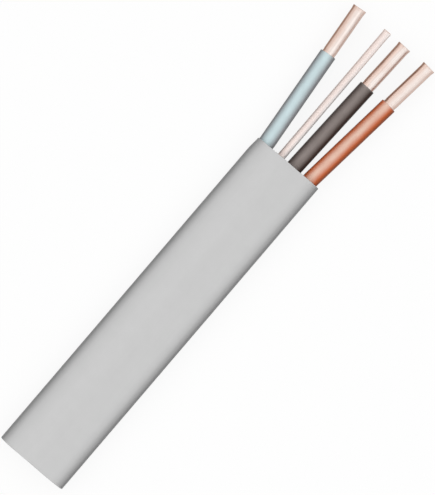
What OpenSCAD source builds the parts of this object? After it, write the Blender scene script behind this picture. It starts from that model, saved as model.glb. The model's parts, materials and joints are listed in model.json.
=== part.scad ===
// Flat three core and earth cable: a straight length, stripped at one end so that its cores fan out.
// It lies on its flat face with the stripped end toward +X and the grey core toward +Y.
// The origin is the middle of the sheath's underside.

/* [Cores] */
// Diameter of each solid copper conductor
conductor_d = 2.3; // [1:0.05:4]
// Wall of the insulation round a conductor
insulation_wall = 0.25; // [0.2:0.05:1]
// Diameter of the bare earth wire
earth_d = 1.4; // [0.8:0.05:3]
// Radial room between a wire or core and the plastic drawn over it
fit = 0.02; // [0.01:0.01:0.05]

/* [Sheath] */
// Length of sheath left on the cable
sheath_length = 64.2; // [20:0.1:300]
// Sheath above and below the cores
face_wall = 1.3; // [0.6:0.05:3]
// Sheath beside the grey core
grey_side_wall = 0.35; // [0.3:0.05:2]
// Sheath between the grey core and the earth wire
grey_web = 1.15; // [0.3:0.05:2]
// Sheath between the earth wire and the black core
black_web = 0.65; // [0.3:0.05:2]
// Sheath between the black and brown cores
brown_web = 0.55; // [0.3:0.05:2]
// Sheath beside the brown core
brown_side_wall = 0.5; // [0.3:0.05:2]

/* [Stripped end] */
// Distance along the cable from the sheath's cut to the wire tips
stripped_length = 26.7; // [15:0.1:60]
// Distance along the cable from the insulation's cut to the wire tips
bare_length = 9; // [3:0.1:10]
// Inside radius of the bend where a core leaves the sheath
bend_inside = 4.6; // [1:0.1:12]
// How much a wire or its insulation thins through the bend
bend_thinning = 0.02; // [0.01:0.01:0.05]
// Length of bend buried in the straight stretch at each of its ends
bend_root = 0.1; // [0.05:0.01:0.15]
// Angle at which the grey core leans out to its own side
grey_lean_angle = 5.8; // [0.5:0.1:10]
// Angle at which the black core leans toward the brown side
black_lean_angle = 1.9; // [0.5:0.1:4]
// Angle at which the brown core leans out to its own side
brown_lean_angle = 5.9; // [4:0.1:10]
// Angle at which the earth wire rises off the level of the cores
earth_rise_angle = 1.5; // [0.5:0.1:4]

/* [Cut ends] */
// Broken edge round each wire tip
tip_break = 0.1; // [0.05:0.01:0.3]
// Broken edge round each insulation end
insulation_break = 0.08; // [0.05:0.01:0.12]
// Depth of the ring that the stripping jaws press into the copper
score_depth = 0.04; // [0.02:0.01:0.1]
// Width of the pressed ring
score_width = 0.6; // [0.55:0.05:1]

/* [Hidden] */
$fn = 64;
core_d = conductor_d + 2 * insulation_wall;
conductor_r = conductor_d / 2;
core_r = core_d / 2;
earth_r = earth_d / 2;
bend_radius = bend_inside + core_r;
root_angle = asin(bend_root / bend_radius);

sheath_thickness = core_d + 2 * face_wall;
core_row = 3 * core_d + earth_d + grey_web + black_web + brown_web;
sheath_width = grey_side_wall + core_row + brown_side_wall;
axis_z = sheath_thickness / 2;
rear_x = -sheath_length / 2;
mouth_x = sheath_length / 2;

// Places of the core axes across the sheath, from the grey side
grey_y = sheath_width / 2 - grey_side_wall - core_r;
earth_y = grey_y - core_r - grey_web - earth_r;
black_y = earth_y - earth_r - black_web - core_r;
brown_y = black_y - core_r - brown_web - core_r;

// Turn about the cable's axis that points a lean to the grey side, to the brown side or up
grey_side_angle = 0;
brown_side_angle = 180;
top_side_angle = 90;

insulated_length = stripped_length - bare_length;

// Straight length past the bend that ends at a given distance from the sheath's cut
function past_bend(reach, lean) = (reach - bend_radius * sin(lean)) / cos(lean);

// Solid disc, or a ring where there is a bore
module section(radius, bore) {
    difference() {
        circle(r = radius);
        if (bore > 0)
            circle(r = bore);
    }
}

// A wire or tube that runs straight through the sheath and bends at its mouth.
// The children go on from the bend, with their Z toward the tip.
module fanned(y, lean, side, radius, bore = 0) {
    bent_bore = bore > 0 ? bore + bend_thinning : 0;
    translate([rear_x, y, axis_z])
        rotate([90, 0, 90])
            linear_extrude(sheath_length)
                section(radius, bore);
    translate([mouth_x, y, axis_z])
        rotate([side, 0, 0])
            translate([0, bend_radius, 0]) {
                rotate([0, 0, -90 - root_angle])
                    rotate_extrude(angle = lean + 2 * root_angle)
                        translate([bend_radius, 0])
                            section(radius - bend_thinning, bent_bore);
                rotate([0, 0, lean])
                    translate([0, -bend_radius, 0])
                        rotate([0, 90, 0])
                            children();
            }
}

module outer_sheath() {
    flat_width = sheath_width - sheath_thickness;
    color("lightgray")
        translate([rear_x, 0, axis_z])
            rotate([90, 0, 90])
                linear_extrude(sheath_length)
                    difference() {
                        union() {
                            square([flat_width, sheath_thickness], center = true);
                            for (side = [-1, 1])
                                translate([side * flat_width / 2, 0])
                                    circle(d = sheath_thickness);
                        }
                        for (y = [grey_y, black_y, brown_y])
                            translate([y, 0])
                                circle(r = core_r + fit);
                        translate([earth_y, 0])
                            circle(r = earth_r + fit);
                    }
}

module insulation(y, lean, side) {
    end = past_bend(insulated_length, lean);
    bore = conductor_r + fit;
    fanned(y, lean, side, core_r, bore)
        rotate_extrude()
            polygon([
                [bore, 0],
                [core_r, 0],
                [core_r, end - insulation_break],
                [core_r - insulation_break, end],
                [bore, end]
            ]);
}

module conductor(y, lean, side) {
    end = past_bend(stripped_length, lean);
    score = past_bend(insulated_length, lean);
    fanned(y, lean, side, conductor_r)
        rotate_extrude()
            polygon([
                [0, 0],
                [conductor_r, 0],
                [conductor_r, score],
                [conductor_r - score_depth, score + score_width / 2],
                [conductor_r, score + score_width],
                [conductor_r, end - tip_break],
                [conductor_r - tip_break, end],
                [0, end]
            ]);
}

module grey_insulation() {
    color("lightsteelblue")
        insulation(grey_y, grey_lean_angle, grey_side_angle);
}

module black_insulation() {
    color("dimgray")
        insulation(black_y, black_lean_angle, brown_side_angle);
}

module brown_insulation() {
    color("sienna")
        insulation(brown_y, brown_lean_angle, brown_side_angle);
}

module grey_conductor() {
    color("peru")
        conductor(grey_y, grey_lean_angle, grey_side_angle);
}

module black_conductor() {
    color("peru")
        conductor(black_y, black_lean_angle, brown_side_angle);
}

module brown_conductor() {
    color("peru")
        conductor(brown_y, brown_lean_angle, brown_side_angle);
}

module earth_conductor() {
    end = past_bend(stripped_length, earth_rise_angle);
    color("peru")
        fanned(earth_y, earth_rise_angle, top_side_angle, earth_r)
            rotate_extrude()
                polygon([
                    [0, 0],
                    [earth_r, 0],
                    [earth_r, end - tip_break],
                    [earth_r - tip_break, end],
                    [0, end]
                ]);
}

outer_sheath();
grey_insulation();
black_insulation();
brown_insulation();
grey_conductor();
black_conductor();
brown_conductor();
earth_conductor();
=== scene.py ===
import json
import math

import bmesh
import bpy
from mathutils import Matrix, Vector, noise


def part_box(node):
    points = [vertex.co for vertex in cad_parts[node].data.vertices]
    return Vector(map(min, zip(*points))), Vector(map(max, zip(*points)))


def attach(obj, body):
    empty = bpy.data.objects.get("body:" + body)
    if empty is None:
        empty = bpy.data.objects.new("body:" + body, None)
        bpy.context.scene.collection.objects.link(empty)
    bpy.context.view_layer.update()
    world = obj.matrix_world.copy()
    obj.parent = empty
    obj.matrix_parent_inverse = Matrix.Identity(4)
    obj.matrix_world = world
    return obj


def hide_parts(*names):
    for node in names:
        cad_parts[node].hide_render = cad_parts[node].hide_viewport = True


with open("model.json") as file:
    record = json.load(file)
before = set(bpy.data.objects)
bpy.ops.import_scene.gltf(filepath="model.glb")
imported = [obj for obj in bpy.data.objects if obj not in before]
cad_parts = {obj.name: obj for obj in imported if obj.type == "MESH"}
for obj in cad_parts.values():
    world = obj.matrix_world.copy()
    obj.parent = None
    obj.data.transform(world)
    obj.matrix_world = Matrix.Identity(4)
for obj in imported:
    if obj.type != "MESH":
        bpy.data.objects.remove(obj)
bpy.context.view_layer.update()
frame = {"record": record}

# Copper wires: three solid conductors and a thinner bare earth wire, drawn from soft copper through a die.
# They lie straight in the sheath, bend once where they leave it and fan out to their tips.
# Side cutters pinched the tips off, and the stripping jaws pressed a faint ring at each bare end's root.
MM = 0.001
bend_radius = 6 * MM
insulated_length = 17.7 * MM
wire_edge = 0.1 * MM
wire_clear = 4 * wire_edge
pinch_length = 0.8 * MM
pinch_spread = 0.06
pinch_ridge = 0.14 * MM
score_width = 0.6 * MM
score_depth = 0.04 * MM
conductor_sides = 64
earth_sides = 48
face_rings = (0, 0.2, 0.4, 0.6, 0.8)
sheathed_step = 6 * MM
bend_step = 0.1 * MM
insulated_step = 2 * MM
score_step = score_width / 8
bare_step = 1 * MM
pinch_step = 0.1 * MM
sharp_angle = math.radians(40)

# A reach is the distance along a wire from the sheath's mouth, so it is below zero inside the sheath
sheath_low, sheath_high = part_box("outer_sheath")
mouth_x = sheath_high.x
rear = sheath_low.x - mouth_x
mounts = {mount["name"]: mount for mount in frame["record"]["mounts"]}
wire_ends = {core: mounts[core + "_wire_end"] for core in ("grey", "earth", "black", "brown")}
wire_radii = {core: end["dims"]["r_mm"] * MM for core, end in wire_ends.items()}


def route_to(core):
    """Function from a reach to the place there, and the reaches of the bend's end, the strip and the tip."""
    tip = Vector(wire_ends[core]["pos_m"])
    heading = Vector(wire_ends[core]["axis"])
    forward = Vector((1, 0, 0))
    lean = forward.angle(heading)
    aside = (heading - forward * heading.x).normalized()
    bend_forward = bend_radius * math.sin(lean)
    bend_aside = bend_radius * (1 - math.cos(lean))
    straight = (tip.x - mouth_x - bend_forward) / math.cos(lean)
    start = Vector((mouth_x, tip.y, tip.z)) - aside * (bend_aside + straight * math.sin(lean))

    def place(reach):
        turn = min(max(reach / bend_radius, 0), lean)
        along = forward * math.cos(turn) + aside * math.sin(turn)
        centre = start + forward * bend_radius * math.sin(turn)
        centre += aside * bend_radius * (1 - math.cos(turn)) + along * (reach - turn * bend_radius)
        across = Vector((0, 0, 1)).cross(along).normalized()
        return centre, across, along.cross(across)

    bend_end = bend_radius * lean
    strip = bend_end + (insulated_length - bend_forward) / math.cos(lean)
    return place, bend_end, strip, bend_end + straight


def ease(share):
    """Smooth rise from 0 to 1."""
    share = min(max(share, 0), 1)
    return share * share * (3 - 2 * share)


def spaced(start, end, spacing):
    """Even steps from start up to, but not at, end."""
    count = max(1, round((end - start) / spacing))
    return [start + (end - start) * step / count for step in range(count)]


def rounded(edge, steps=4):
    """Insets from a cut and from the side, along a rounded edge that starts on the cut."""
    turns = [math.pi / 2 * step / steps for step in range(steps + 1)]
    return [(edge * (1 - math.cos(turn)), edge * (1 - math.sin(turn))) for turn in turns]


def swept(place, profile, sides, worked, drum_start, hollow=False):
    """Skin over rings along a route, closed on itself where it is hollow.

    Each point keeps its place on the straightened length, in mm, and how much it is cut.
    """
    mesh = bmesh.new()
    lay = mesh.verts.layers.float_vector.new("lay")
    cut = mesh.verts.layers.float.new("cut")
    rings = []
    for reach, radius, cut_share in profile:
        ring = []
        for step in range(sides if radius else 1):
            at, wide, tall = worked(reach, radius, math.tau * step / sides)
            centre, across, up = place(at)
            point = mesh.verts.new(centre + across * wide + up * tall)
            point[lay] = Vector((drum_start + at, wide, tall)) / MM
            point[cut] = cut_share
            ring.append(point)
        rings.append(ring)
    if hollow:
        rings.append(rings[0])
    for near, far in zip(rings, rings[1:]):
        for step in range(sides):
            after = step + 1
            corners = [near[step % len(near)], near[after % len(near)]]
            corners += [far[after % len(far)], far[step % len(far)]]
            mesh.faces.new(list(dict.fromkeys(corners)))
    return mesh


def wire_mesh(core, sides, scored, drum_start):
    """Wire from the rear cut to the pinched tip."""
    place, bend_end, strip, tip = route_to(core)
    wire_radius = wire_radii[core]
    face = [wire_radius * share for share in face_rings]
    edge = [(inset, wire_radius - step_in) for inset, step_in in rounded(wire_edge)]
    score_end = strip + score_width if scored else strip

    reaches = spaced(rear + wire_clear, 0, sheathed_step)
    reaches += spaced(0, bend_end, bend_step)
    reaches += spaced(bend_end, strip, insulated_step)
    if scored:
        reaches += spaced(strip, score_end, score_step)
    reaches += spaced(score_end, tip - pinch_length, bare_step)
    reaches += spaced(tip - pinch_length, tip - wire_clear, pinch_step)
    reaches.append(tip - wire_clear)

    profile = [(rear, radius, 1) for radius in face]
    profile += [(rear + inset, radius, 0) for inset, radius in edge]
    for reach in reaches:
        along_score = (reach - strip) / score_width if strip < reach < score_end else 0
        dip = math.sin(math.pi * along_score) ** 2
        profile.append((reach, wire_radius - score_depth * dip, 0))
    profile += [(tip - inset, radius, 0) for inset, radius in reversed(edge)]
    profile += [(tip, radius, 1) for radius in reversed(face)]

    def pinched(reach, radius, turn):
        squeeze = ease((reach - tip) / pinch_length + 1)
        wide = radius * math.cos(turn) * (1 + pinch_spread * squeeze)
        tall = radius * math.sin(turn) * (1 - pinch_spread * squeeze)
        drawn_back = pinch_ridge * squeeze * abs(tall) / wire_radius
        return reach - drawn_back, wide, tall

    return swept(place, profile, sides, pinched, drum_start)


def placed(name, data):
    """Object for a mesh, a lamp or a camera."""
    thing = bpy.data.objects.new(name, data)
    bpy.context.scene.collection.objects.link(thing)
    return thing


def as_piece(name, mesh, node, material):
    """Turns a finished mesh into the piece that stands for a node of the frame."""
    bmesh.ops.recalc_face_normals(mesh, faces=mesh.faces)
    data = bpy.data.meshes.new(name)
    mesh.to_mesh(data)
    mesh.free()
    data.shade_smooth()
    data.set_sharp_from_angle(angle=sharp_angle)
    data.materials.append(material)
    piece = placed(name, data)
    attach(piece, "root")
    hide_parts(node)


def add_node(tree, kind, inputs=(), **settings):
    """Adds a shader node. Inputs are values, or sockets to link from."""
    node = tree.nodes.new(kind)
    for name, value in settings.items():
        setattr(node, name, value)
    for name, value in dict(inputs).items():
        if isinstance(value, bpy.types.NodeSocket):
            tree.links.new(value, node.inputs[name])
        else:
            node.inputs[name].default_value = value
    return node


def maths(tree, operation, first, second=0.0, third=0.0):
    """Result of one sum on up to three values."""
    return add_node(tree, "ShaderNodeMath", {0: first, 1: second, 2: third}, operation=operation).outputs[0]


def mixed(tree, share, first, second, blend="MIX"):
    """Colour between two colours. The node's own colour sockets are 6 and 7, and 2 on its other side."""
    inputs = {0: share, 6: first, 7: second}
    return add_node(tree, "ShaderNodeMix", inputs, data_type="RGBA", blend_type=blend).outputs[2]


def shaded(tree, colour, shade):
    """Colour made darker or lighter by a factor."""
    return mixed(tree, 1.0, colour, shade, "MULTIPLY")


def ranged(tree, value, source, target, soft=False):
    """Value carried over from one range to another, and held at the ends."""
    inputs = {
        "Value": value, "From Min": source[0], "From Max": source[1],
        "To Min": target[0], "To Max": target[1],
    }
    kind = "SMOOTHSTEP" if soft else "LINEAR"
    return add_node(tree, "ShaderNodeMapRange", inputs, interpolation_type=kind).outputs[0]


def grained(tree, lay, grain, detail=2.0, roughness=0.55):
    """Noise over the straightened length, with its grains per mm along, across and up."""
    stretched = add_node(tree, "ShaderNodeVectorMath", {0: lay, 1: grain}, operation="MULTIPLY").outputs[0]
    inputs = {"Vector": stretched, "Scale": 1.0, "Detail": detail, "Roughness": roughness}
    return add_node(tree, "ShaderNodeTexNoise", inputs).outputs[0]


def lay_socket(tree):
    """Place on the straightened length, in mm."""
    return add_node(tree, "ShaderNodeAttribute", attribute_name="lay").outputs["Vector"]


def effect_group(name, inputs, outputs):
    """Node group for an effect that several finishes share, with its inner ends."""
    tree = bpy.data.node_groups.new(name, "ShaderNodeTree")
    for label, kind in inputs.items():
        tree.interface.new_socket(name=label, in_out="INPUT", socket_type="NodeSocket" + kind)
    for label, kind in outputs.items():
        tree.interface.new_socket(name=label, in_out="OUTPUT", socket_type="NodeSocket" + kind)
    return tree, tree.nodes.new("NodeGroupInput").outputs, tree.nodes.new("NodeGroupOutput").inputs


def highlight_facing(tree, given):
    """1 where a round piece's painted highlight is centred, and less the further round its side."""
    inputs = {0: given["Lay"], 1: given["Highlight way"]}
    toward = add_node(tree, "ShaderNodeVectorMath", inputs, operation="DOT_PRODUCT").outputs["Value"]
    return maths(tree, "DIVIDE", toward, given["Radius"])


def highlight_at(degrees):
    """Way from a wire's axis to the middle of its painted highlight, turned from straight up toward the grey
    side.
    """
    turn = math.radians(degrees)
    return 0, math.sin(turn), math.cos(turn)


# Drawn copper: die lines run along it, painted shade darkens its flanks and a painted highlight lightens its
# crown, both shifted about by random stains, a thin film dulls it, and its cuts show fresh metal with the
# lines of the shear
die_line_grain = (0.02, 6, 6)
die_line_shade = (0.84, 1.08)
stain_grain = (0.35, 0.8, 0.8)
stain_weight = 0.3
stain_film = (0.8, 1.2)
shear_grain = (2, 1, 6)
shear_shade = (0.65, 1.08)
line_spread = (0.25, 0.75)
grain_spread = (0.3, 0.7)
flank_shade_reach = (0.5, 0.75)
highlight_reach = (0.35, 1.15)
highlight_focus = 5.0
copper_roughness = (0.42, 0.30)
relief_depth = 0.004 * MM
fresh_copper = (0.85, 0.58, 0.47, 1)
# Conductor tones: a painted highlight on the side turned the highlight way, painted shade down the far flank,
# warm copper between
conductor_tones = {
    "Highlight way": highlight_at(-14.5),
    "Bright": (0.79, 0.71, 0.67, 1),
    "Warm": (0.69, 0.505, 0.43, 1),
    "Painted shade": (0.36, 0.20, 0.14, 1),
    "Dullness": 0.0,
    "Film": 0.05,
}
# The earth's tones are all pale, painted as if bleached by bright light, palest on its painted highlight,
# turned far from the grey side
earth_tones = {
    "Highlight way": highlight_at(-53.1),
    "Bright": (1.0, 0.935, 0.91, 1),
    "Warm": (0.87, 0.76, 0.72, 1),
    "Painted shade": (0.84, 0.715, 0.67, 1),
    "Dullness": 0.2,
    "Film": 0.5,
}


def drawn_copper_effect():
    tree, given, out = effect_group(
        "Drawn copper",
        {
            "Lay": "Vector", "Cut": "Float", "Radius": "Float", "Highlight way": "Vector",
            "Bright": "Color", "Warm": "Color", "Painted shade": "Color", "Dullness": "Float", "Film": "Float",
        },
        {"Base Color": "Color", "Roughness": "Float", "Metallic": "Float", "Height": "Float"},
    )
    die_lines = grained(tree, given["Lay"], die_line_grain, detail=1.0)
    stains = grained(tree, given["Lay"], stain_grain, detail=3.0)
    shear_lines = grained(tree, given["Lay"], shear_grain)

    # Painted light: how far round toward the highlight way each point lies, shifted by the stains
    painted_light = maths(tree, "MULTIPLY_ADD", stains, stain_weight, highlight_facing(tree, given))
    painted_highlight = maths(tree, "POWER", ranged(tree, painted_light, highlight_reach, (0, 1)), highlight_focus)
    # Painted shade on the flanks, then the painted highlight along the crown
    tone = mixed(tree, ranged(tree, painted_light, flank_shade_reach, (0, 1)), given["Painted shade"], given["Warm"])
    tone = mixed(tree, painted_highlight, tone, given["Bright"])
    drawn = shaded(tree, tone, ranged(tree, die_lines, line_spread, die_line_shade))
    sheared = shaded(tree, fresh_copper, ranged(tree, shear_lines, grain_spread, shear_shade))
    tree.links.new(mixed(tree, given["Cut"], drawn, sheared), out["Base Color"])

    film = maths(tree, "MULTIPLY", given["Film"], ranged(tree, stains, grain_spread, stain_film))
    bare = maths(tree, "SUBTRACT", 1.0, film)
    tree.links.new(ranged(tree, given["Cut"], (0, 1), (bare, 1.0)), out["Metallic"])

    grooves = mixed(tree, given["Cut"], die_lines, shear_lines)
    gloss = ranged(tree, grooves, line_spread, copper_roughness)
    tree.links.new(maths(tree, "ADD", gloss, given["Dullness"]), out["Roughness"])
    tree.links.new(grooves, out["Height"])
    return tree


def surface_finish(name, effect, values, constants=()):
    """Material whose colour, gloss and relief come from a shared effect, with that effect's node."""
    material = bpy.data.materials.new(name)
    material.use_nodes = True
    tree = material.node_tree
    shader = tree.nodes["Principled BSDF"]
    for label, value in dict(constants).items():
        shader.inputs[label].default_value = value
    cut = add_node(tree, "ShaderNodeAttribute", attribute_name="cut").outputs["Fac"]
    inputs = {"Lay": lay_socket(tree), "Cut": cut, **values}
    surface = add_node(tree, "ShaderNodeGroup", inputs, node_tree=effect)
    for output in surface.outputs:
        if output.name in shader.inputs:
            tree.links.new(output, shader.inputs[output.name])
    relief = {"Height": surface.outputs["Height"], "Distance": relief_depth, "Strength": 1.0}
    tree.links.new(add_node(tree, "ShaderNodeBump", relief).outputs["Normal"], shader.inputs["Normal"])
    return material, surface


drawn_copper = drawn_copper_effect()


def copper(name, core, tones):
    """Copper for wires as thick as that of the given core."""
    return surface_finish(name, drawn_copper, {"Radius": wire_radii[core] / MM, **tones})[0]


# Each wire comes from its own stretch of the drum, half a metre on, so that no two have the same stains
drum_step = 0.5
earth_turn = 3
conductor_copper = copper("Conductor copper", "grey", conductor_tones)
earth_copper = copper("Earth copper", "earth", earth_tones)
for turn, core in enumerate(("grey", "black", "brown")):
    wire = wire_mesh(core, conductor_sides, True, turn * drum_step)
    as_piece(core + "_wire", wire, core + "_conductor", conductor_copper)
earth = wire_mesh("earth", earth_sides, False, earth_turn * drum_step)
as_piece("earth_wire", earth, "earth_conductor", earth_copper)

# Core insulation: thin tubes of coloured plastic, pressed hot round the conductors as they pass a die.
# The stripping jaws cut each one square, which leaves a rounded lip with two small tags where the blades met.
# A painted highlight lies pale along the crown of each, and painted shade darkens its sides.
insulation_radius = 1.4 * MM
insulation_bore = 1.17 * MM
insulation_sides = 72
fanned_step = 1.5 * MM
lip = 0.1 * MM
lip_clear = 3 * lip
bite_length = 8 * lip
cut_wander = 0.03 * MM
wander_waves = 3
wander_shift = 10.0
tag_reach = 0.04 * MM
tag_width = 0.2


def insulation_mesh(core, turn_on_drum):
    """Tube from the rear cut to the lip that the stripping jaws left."""
    place, bend_end, strip, _ = route_to(core)
    edge = [(inset, insulation_radius - step_in) for inset, step_in in rounded(lip)]
    bend = spaced(0, bend_end, bend_step)
    fanned = spaced(bend_end, strip - lip_clear, fanned_step)
    outside = spaced(rear + lip_clear, 0, sheathed_step) + bend + fanned + [strip - lip_clear]

    profile = [(rear + inset, radius, 1) for inset, radius in edge]
    profile += [(reach, insulation_radius, 0) for reach in outside]
    profile += [(strip - inset, radius, 1) for inset, radius in reversed(edge)]
    profile += [(strip, insulation_bore, 1), (bend_end, insulation_bore, 0)]
    profile += [(reach, insulation_bore, 0) for reach in reversed(bend)]
    profile.append((rear, insulation_bore, 1))

    def bitten(reach, radius, turn):
        wide = math.cos(turn)
        tall = math.sin(turn)
        by_cut = ease((reach - strip) / bite_length + 1)
        noise_at = Vector((wander_waves * wide, wander_waves * tall, wander_shift * turn_on_drum))
        wander = cut_wander * noise.noise(noise_at)
        tag = tag_reach * math.exp(-((tall / tag_width) ** 2))
        return reach + by_cut * (wander + tag - tag_reach), radius * wide, radius * tall

    return swept(place, profile, insulation_sides, bitten, turn_on_drum * drum_step, True)


# Extruded skin: streaks from the die, mottling and a fine grain, and whitish drag marks over a cut
streak_grain = (0.02, 3, 3)
mottle_grain = (0.5, 0.5, 0.5)
skin_grain = (8, 8, 8)
knife_grain = (3, 1, 9)
even_shade = 0.95
mottle_weight = 0.06
drag_white = (0.9, 0.9, 0.9, 1)
drag_share = (0.5, 1.0)
skin_roughness = (0.36, 0.42)
mottle_roughness = 0.12
cut_roughness = 0.2
plastic_gloss = {"IOR": 1.5, "Specular IOR Level": 0.2}
core_skin = {"Streak": 0.05, "Whitening": 0.1}


def extruded_skin_effect():
    tree, given, out = effect_group(
        "Extruded skin",
        {"Lay": "Vector", "Cut": "Float", "Plastic": "Color", "Streak": "Float", "Whitening": "Float"},
        {"Base Color": "Color", "Roughness": "Float", "Height": "Float"},
    )
    streaks = grained(tree, given["Lay"], streak_grain)
    mottle = grained(tree, given["Lay"], mottle_grain, detail=3.0)
    grain = grained(tree, given["Lay"], skin_grain)
    knife_drag = grained(tree, given["Lay"], knife_grain)

    mottled = maths(tree, "MULTIPLY_ADD", mottle, mottle_weight, even_shade)
    shade = maths(tree, "MULTIPLY_ADD", streaks, given["Streak"], mottled)
    pressed = maths(tree, "MULTIPLY", given["Cut"], given["Whitening"])
    whitened = maths(tree, "MULTIPLY", pressed, ranged(tree, knife_drag, grain_spread, drag_share))
    tinted = shaded(tree, given["Plastic"], shade)
    tree.links.new(mixed(tree, whitened, tinted, drag_white), out["Base Color"])

    gloss = ranged(tree, grain, grain_spread, skin_roughness)
    gloss = maths(tree, "MULTIPLY_ADD", mottle, mottle_roughness, gloss)
    tree.links.new(maths(tree, "MULTIPLY_ADD", given["Cut"], cut_roughness, gloss), out["Roughness"])

    ridges = maths(tree, "ADD", grain, streaks)
    tree.links.new(mixed(tree, given["Cut"], ridges, knife_drag), out["Height"])
    return tree


# Painted sheen and rim shade: a painted highlight along the crown, with uneven edges from noise, and painted
# shade down the sides
sheen_noise_grain = (0.5, 1.2, 1.2)
sheen_noise_weight = 0.12
sheen_reach = (0.64, 1.08)
rim_reach = (0.4, 0.75)
# Per core: where its painted highlight is centred, how tight it is, how dark the painted rim shade goes, the
# plastic's own colour and the highlight's colour
core_colours = {
    "grey": {
        "Highlight way": highlight_at(5), "Focus": 1.3, "Painted rim shade": 0.75,
        "Plastic": (0.33, 0.345, 0.36, 1), "Painted sheen": (0.62, 0.76, 0.79, 1),
    },
    "black": {
        "Highlight way": highlight_at(7), "Focus": 1.5, "Painted rim shade": 0.8,
        "Plastic": (0.05, 0.034, 0.029, 1), "Painted sheen": (0.26, 0.22, 0.205, 1),
    },
    "brown": {
        "Highlight way": highlight_at(9), "Focus": 2.6, "Painted rim shade": 0.55,
        "Plastic": (0.62, 0.135, 0.04, 1), "Painted sheen": (0.82, 0.57, 0.46, 1),
    },
}


def painted_sheen_effect():
    tree, given, out = effect_group(
        "Painted sheen and rim shade",
        {
            "Lay": "Vector", "Radius": "Float", "Highlight way": "Vector", "Focus": "Float",
            "Painted rim shade": "Float", "Plastic": "Color", "Painted sheen": "Color",
        },
        {"Colour": "Color"},
    )
    facing = highlight_facing(tree, given)
    sheen_noise = grained(tree, given["Lay"], sheen_noise_grain, detail=4.0)
    noisy_facing = maths(tree, "MULTIPLY_ADD", sheen_noise, sheen_noise_weight, facing)
    # Painted highlight along the crown, and painted shade down the sides over the plastic's own colour
    sheen_mask = maths(tree, "POWER", ranged(tree, noisy_facing, sheen_reach, (0, 1)), given["Focus"])
    rim_shaded = shaded(tree, given["Plastic"], ranged(tree, facing, rim_reach, (given["Painted rim shade"], 1.0)))
    tree.links.new(mixed(tree, sheen_mask, rim_shaded, given["Painted sheen"]), out["Colour"])
    return tree


extruded_skin = extruded_skin_effect()
painted_sheen_group = painted_sheen_effect()


def core_plastic(core):
    name = core.capitalize() + " core plastic"
    material, skin = surface_finish(name, extruded_skin, core_skin, plastic_gloss)
    tree = material.node_tree
    inputs = {"Lay": lay_socket(tree), "Radius": insulation_radius / MM, **core_colours[core]}
    # Painted highlight and painted rim shade over the core's own colour
    painted_light_node = add_node(tree, "ShaderNodeGroup", inputs, node_tree=painted_sheen_group)
    tree.links.new(painted_light_node.outputs["Colour"], skin.inputs["Plastic"])
    return material


for turn, core in enumerate(core_colours):
    tube = insulation_mesh(core, turn)
    as_piece(core + "_tube", tube, core + "_insulation", core_plastic(core))

# Outer sheath: one flat jacket of grey plastic, pressed over the four cores so that they lie in a row.
# It sinks a hair between the cores as it cools. A knife cut it square at both ends, which whitens the edge,
# and the stripping jaws pressed it in beside the grey core at the mouth.
bore_room = 0.02 * MM
hollow_depth = 0.03 * MM
knife_edge = 0.12 * MM
knife_clear = 2.5 * knife_edge
knife_wander = 0.035 * MM
knife_wave = 2 * MM
jaw_mark = 0.15 * MM
jaw_length = 2.5 * MM
flat_step = 0.14 * MM
side_step = math.pi / 30
bore_step = math.tau / 60
sheath_step = 2 * MM
jaw_step = 0.25 * MM
axis_z = (sheath_low.z + sheath_high.z) / 2
round_radius = (sheath_high.z - sheath_low.z) / 2
flat_half = (sheath_high.y - sheath_low.y) / 2 - round_radius
bores = []
for core in wire_ends:
    place = route_to(core)[0]
    held_radius = wire_radii[core] if core == "earth" else insulation_radius
    bores.append((place(rear)[0].y, bore_room + held_radius))
core_row = sorted(bore_y for bore_y, bore_radius in bores)


def sunk(y):
    """How far the flat faces sink between two cores."""
    for near, far in zip(core_row, core_row[1:]):
        if near < y < far:
            return hollow_depth * math.sin(math.pi * (y - near) / (far - near)) ** 2
    return 0.0


def sheath_outline():
    """Places and outward ways round the sheath, in its cross section."""
    points = []
    for side in (1, -1):
        for y in spaced(flat_half, -flat_half, -flat_step):
            points.append((side * y, side * (round_radius - sunk(side * y)), 0, side))
        for turn in spaced(0, math.pi, side_step):
            aside = -side * math.sin(turn)
            up = side * math.cos(turn)
            points.append((-side * flat_half + round_radius * aside, round_radius * up, aside, up))
    return points


def bore_outline(bore_y, bore_radius):
    """Places and ways from the axis round a bore, in the sheath's cross section."""
    points = []
    for turn in spaced(0, math.tau, bore_step):
        aside = math.cos(turn)
        up = math.sin(turn)
        points.append((bore_y + bore_radius * aside, bore_radius * up, aside, up))
    return points


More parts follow.
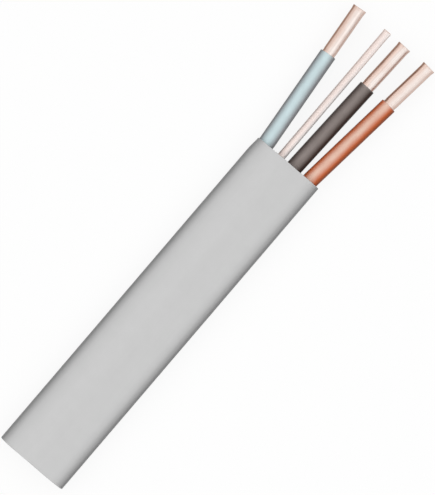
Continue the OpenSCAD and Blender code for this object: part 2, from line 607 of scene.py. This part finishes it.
def sheath_mesh():
    """Skin with rounded cut edges, four bores, and both cut faces filled in between."""
    mesh = bmesh.new()
    lay = mesh.verts.layers.float_vector.new("lay")
    cut = mesh.verts.layers.float.new("cut")

    def ring(outline, reach, inset, cut_share, squeeze=0.0):
        points = []
        for y, z, aside, up in outline:
            at_y = y - inset * aside - squeeze * ease((y - flat_half) / round_radius)
            at_z = z - inset * up
            wander = cut_share * knife_wander * noise.noise(Vector((at_y, at_z, reach)) / knife_wave)
            point = mesh.verts.new((mouth_x + reach + wander, at_y, axis_z + at_z))
            point[lay] = Vector((reach, at_y, at_z)) / MM
            point[cut] = cut_share
            points.append(point)
        return points

    def joined(rings):
        for near, far in zip(rings, rings[1:]):
            for step in range(len(near)):
                after = (step + 1) % len(near)
                mesh.faces.new((near[step], near[after], far[after], far[step]))
        return rings

    outline = sheath_outline()
    edge = [(inset, step_in, 1 - inset / knife_edge) for inset, step_in in rounded(knife_edge)]
    skin = [ring(outline, rear + inset, step_in, share) for inset, step_in, share in edge]
    skin += [ring(outline, reach, 0, 0) for reach in spaced(rear + knife_clear, -jaw_length, sheath_step)]
    for reach in spaced(-jaw_length, -knife_clear, jaw_step):
        skin.append(ring(outline, reach, 0, 0, jaw_mark * ease(1 + reach / jaw_length)))
    skin.append(ring(outline, -knife_clear, 0, 0, jaw_mark))
    skin += [ring(outline, -inset, step_in, share, jaw_mark) for inset, step_in, share in reversed(edge)]

    walls = [joined(skin)]
    for bore_y, bore_radius in bores:
        circle = bore_outline(bore_y, bore_radius)
        steps = ((rear, 1), (rear + knife_clear, 0), (-knife_clear, 0), (0, 1))
        walls.append(joined([ring(circle, reach, 0, share) for reach, share in steps]))
    for end in (0, -1):
        rims = [wall[end] for wall in walls]
        loops = [mesh.edges.get((rim[step - 1], rim[step])) for rim in rims for step in range(len(rim))]
        bmesh.ops.triangle_fill(mesh, edges=loops, use_beauty=True)
    return mesh


# Sheath plastic, with places in mm across from its middle: painted shade on its rounded sides, deeper at the
# very rims, a painted highlight strip a little brighter and a painted shade strip along a shoulder a little
# duller
sheath_grey = (0.60, 0.60, 0.60, 1)
sheath_skin = {"Streak": 0.03, "Whitening": 0.4}
side_shade_reach = (5.0, 6.5)
side_shade_factor = 0.75
rim_shade_reach = (5.85, 6.35)
rim_shade_factor = 0.75
highlight_strip_place = 1.9
highlight_strip_reach = (0.3, 2.4)
highlight_strip_change = 0.02
shade_strip_place = 4.2
shade_strip_reach = (0.2, 1.2)
shade_strip_change = -0.02


def sheath_plastic():
    material, skin = surface_finish("Sheath plastic", extruded_skin, sheath_skin, plastic_gloss)
    tree = material.node_tree
    across = add_node(tree, "ShaderNodeSeparateXYZ", {0: lay_socket(tree)}).outputs["Y"]
    from_middle = maths(tree, "ABSOLUTE", across)

    def strip(place, reach, change):
        off_strip = maths(tree, "ABSOLUTE", maths(tree, "SUBTRACT", across, place))
        return ranged(tree, off_strip, reach, (change, 0), True)

    # Painted highlight strip and painted shade strip along the top, painted shade down the rounded sides,
    # deeper at the rims
    painted_light = strip(highlight_strip_place, highlight_strip_reach, highlight_strip_change)
    shade_strip = strip(shade_strip_place, shade_strip_reach, shade_strip_change)
    side_shaded = ranged(tree, from_middle, side_shade_reach, (1.0, side_shade_factor), True)
    rim_shaded = ranged(tree, from_middle, rim_shade_reach, (1.0, rim_shade_factor), True)
    shade = maths(tree, "ADD", side_shaded, maths(tree, "ADD", painted_light, shade_strip))
    shade = maths(tree, "MULTIPLY", shade, rim_shaded)
    tree.links.new(shaded(tree, sheath_grey, shade), skin.inputs["Plastic"])
    return material


as_piece("sheath", sheath_mesh(), "outer_sheath", sheath_plastic())

# Studio: a sheet of white paper under the cable and a broad soft lamp overhead, in a dim even room.
# Paper and walls look white, also in the copper, but throw little light on the cable.
# The walls' white ends at the lamp's rim, so that the copper never shows the two on top of each other.
paper_half = 6.0
paper_drop = 0.02 * MM
paper_white = (0.95, 0.95, 0.95, 1)
paper_dull = (0.06, 0.06, 0.06, 1)
shadow_share = 0.12
lamp_size = 4.6
lamp_energy = 65.0
lamp_height = 1.3
lamp_lean = math.radians(0.5)
wall_top = (0.46, 0.52)
room_light = 0.03
pure_white = (1, 1, 1, 1)


def looked_at(tree):
    """1 for what is looked at, also in a gloss or through glass, and 0 for what only lights other things."""
    path = add_node(tree, "ShaderNodeLightPath").outputs
    direct = maths(tree, "ADD", path["Is Camera Ray"], path["Is Glossy Ray"])
    return maths(tree, "ADD", direct, path["Is Transmission Ray"])


def white_paper():
    material = bpy.data.materials.new("White paper")
    material.use_nodes = True
    tree = material.node_tree
    tree.nodes.remove(tree.nodes["Principled BSDF"])
    glow = add_node(tree, "ShaderNodeEmission", {"Color": pure_white, "Strength": 1.0}).outputs[0]
    lit = add_node(tree, "ShaderNodeBsdfDiffuse", {"Color": paper_white}).outputs[0]
    dull = add_node(tree, "ShaderNodeBsdfDiffuse", {"Color": paper_dull}).outputs[0]
    white = add_node(tree, "ShaderNodeMixShader", {0: shadow_share, 1: glow, 2: lit}).outputs[0]
    shown = add_node(tree, "ShaderNodeMixShader", {0: looked_at(tree), 1: dull, 2: white}).outputs[0]
    tree.links.new(shown, tree.nodes["Material Output"].inputs["Surface"])
    return material


paper = bpy.data.meshes.new("floor")
corners = ((-1, -1), (1, -1), (1, 1), (-1, 1))
paper.from_pydata([(x * paper_half, y * paper_half, -paper_drop) for x, y in corners], [], [(0, 1, 2, 3)])
paper.materials.append(white_paper())
placed("floor", paper)

lamp_data = bpy.data.lights.new("overhead lamp", "AREA")
lamp_data.shape = "DISK"
lamp_data.size = lamp_size
lamp_data.energy = lamp_energy
lamp = placed("overhead lamp", lamp_data)
lamp.location = (0, lamp_height * math.sin(lamp_lean), lamp_height * math.cos(lamp_lean))
lamp.rotation_euler = (-lamp_lean, 0, 0)

room = bpy.data.worlds.new("room")
room.use_nodes = True
tree = room.node_tree
way = add_node(tree, "ShaderNodeTexCoord").outputs["Generated"]
height = add_node(tree, "ShaderNodeSeparateXYZ", {0: way}).outputs["Z"]
wall = ranged(tree, height, wall_top, (1.0, 0.0), True)
background = tree.nodes["Background"]
background.inputs["Color"].default_value = pure_white
strength = maths(tree, "MULTIPLY_ADD", looked_at(tree), wall, room_light)
tree.links.new(strength, background.inputs["Strength"])
bpy.context.scene.world = room

# Camera: a long lens straight above the cable, as in a catalogue picture on a copy stand.
# It is turned so that the stripped end points up and to the right, and the cable fills the frame.
camera_lens = 300
camera_sensor = 36
camera_height = 670.3 * MM
camera_along = 14.19 * MM
camera_across = -0.22 * MM
camera_turn = math.radians(-49.5)
camera_data = bpy.data.cameras.new("camera")
camera_data.lens = camera_lens
camera_data.sensor_width = camera_sensor
camera = placed("camera", camera_data)
camera.location = (camera_along, camera_across, axis_z + camera_height)
camera.rotation_euler = (0, 0, camera_turn)
bpy.context.scene.camera = camera
bpy.context.scene.view_settings.view_transform = "Standard"
